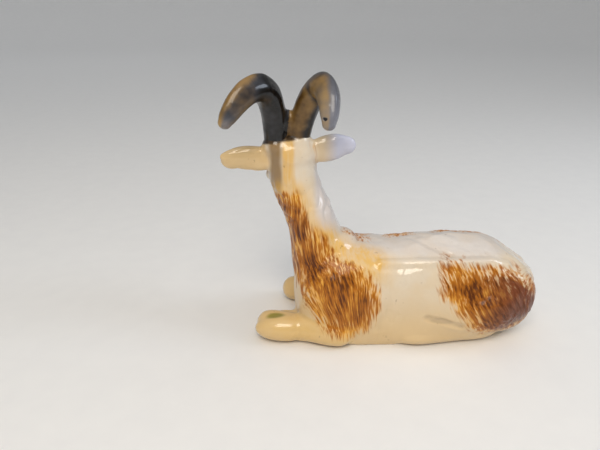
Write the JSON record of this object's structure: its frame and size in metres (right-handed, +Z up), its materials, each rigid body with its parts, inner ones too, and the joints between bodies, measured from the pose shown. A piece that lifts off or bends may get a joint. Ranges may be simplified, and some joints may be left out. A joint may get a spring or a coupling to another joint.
{
  "type": "ceramic goat figurine",
  "caption": "Small glazed goat figurine lying down, head turned to one side, with curled dark horns and hand-painted brown hair patches.",
  "frame": {"origin": "on the flat foot, under the middle of the body", "axes": "+X towards the goat's chest, +Y towards its left flank, +Z up"},
  "size_m": [0.0999, 0.0396, 0.0831],
  "materials": {
    "fleece_glaze": "cream glaze over brown hand-painted hair strokes, glossy",
    "cream_glaze": "warm cream glaze, glossy",
    "horn_glaze": "dark grey-brown translucent glaze, very glossy"
  },
  "bodies": {
    "root": {"body": "fleece_glaze", "neck": "fleece_glaze", "left_haunch": "fleece_glaze", "right_haunch": "fleece_glaze", "tail": "fleece_glaze", "head": "cream_glaze", "beard": "cream_glaze", "left_ear": "cream_glaze", "right_ear": "cream_glaze", "left_foreleg": "cream_glaze", "right_foreleg": "cream_glaze", "left_hind_foot": "cream_glaze", "right_hind_foot": "cream_glaze", "left_horn": "horn_glaze", "right_horn": "horn_glaze"}
  },
  "joints": []
}
